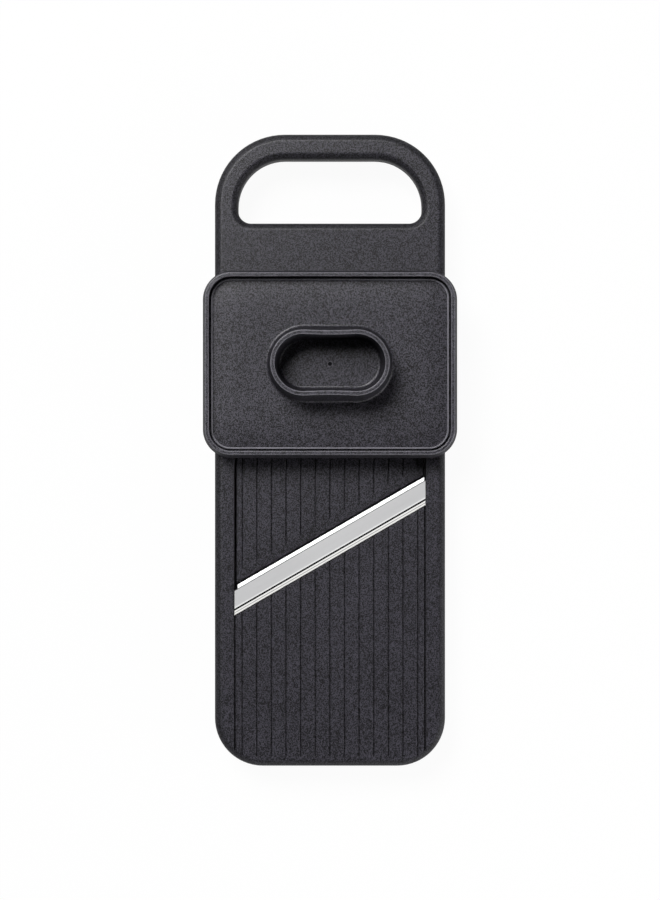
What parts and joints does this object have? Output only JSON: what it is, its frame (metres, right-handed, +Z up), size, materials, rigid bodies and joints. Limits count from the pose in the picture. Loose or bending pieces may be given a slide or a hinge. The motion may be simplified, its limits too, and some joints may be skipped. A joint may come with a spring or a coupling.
{
  "type": "mandoline slicer",
  "caption": "Hand-held mandoline slicer: black moulded body with carrying handle, grooved feed plate of adjustable height, slanted steel blade and sliding hand guard with finger cup.",
  "frame": {"origin": "on the table under the middle of the body", "axes": "+Y along the body towards the handle, +Z up out of the slicing face, +X to the right seen from above"},
  "size_m": [0.132, 0.329, 0.0475],
  "materials": {
    "body_plastic": "fine spark-eroded texture",
    "feed_plastic": "fine spark-eroded texture",
    "slider_plastic": "fine spark-eroded texture",
    "guard_plastic": "fine spark-eroded texture",
    "blade_steel": "satin flat with a ground bevel",
    "bridge_steel": "rolled, with a bright ground lip",
    "rivet_steel": "bright headed",
    "pin_steel": "bright drawn",
    "feed_pin_steel": "drawn, with a dark oxide skin",
    "foot_rubber": "matte"
  },
  "bodies": {
    "body": {"body_frame": "body_plastic", "slicing_blade": "blade_steel", "blade_bridge": "bridge_steel", "blade_rivet_1": "rivet_steel", "blade_rivet_2": "rivet_steel", "blade_rivet_3": "rivet_steel", "blade_rivet_4": "rivet_steel", "foot_nose_left": "foot_rubber", "foot_nose_right": "foot_rubber", "foot_neck_left": "foot_rubber", "foot_neck_right": "foot_rubber"},
    "feed_bed": {"feed_plate": "feed_plastic", "feed_pin_rear_left": "feed_pin_steel", "feed_pin_rear_right": "feed_pin_steel", "feed_pin_front_left": "feed_pin_steel", "feed_pin_front_right": "feed_pin_steel"},
    "slider": {"thickness_slider": "slider_plastic"},
    "guard": {"guard_tray": "guard_plastic", "food_pins": "pin_steel"}
  },
  "joints": [
    {"name": "thickness_slide", "type": "slide", "parent": "body", "child": "slider", "axis": [0, 1, 0], "range_m": [-0.015, 0.01]},
    {"name": "feed_lift", "type": "slide", "parent": "body", "child": "feed_bed", "axis": [0, 0, 1], "range_m": [-0.003, 0.002]},
    {"name": "guard_slide", "type": "slide", "parent": "body", "child": "guard", "axis": [0, 1, 0], "range_m": [-0.15, 0.02]}
  ],
  "couplings": [
    {"joint": "feed_lift", "follows": "thickness_slide", "ratio": 0.2}
  ]
}
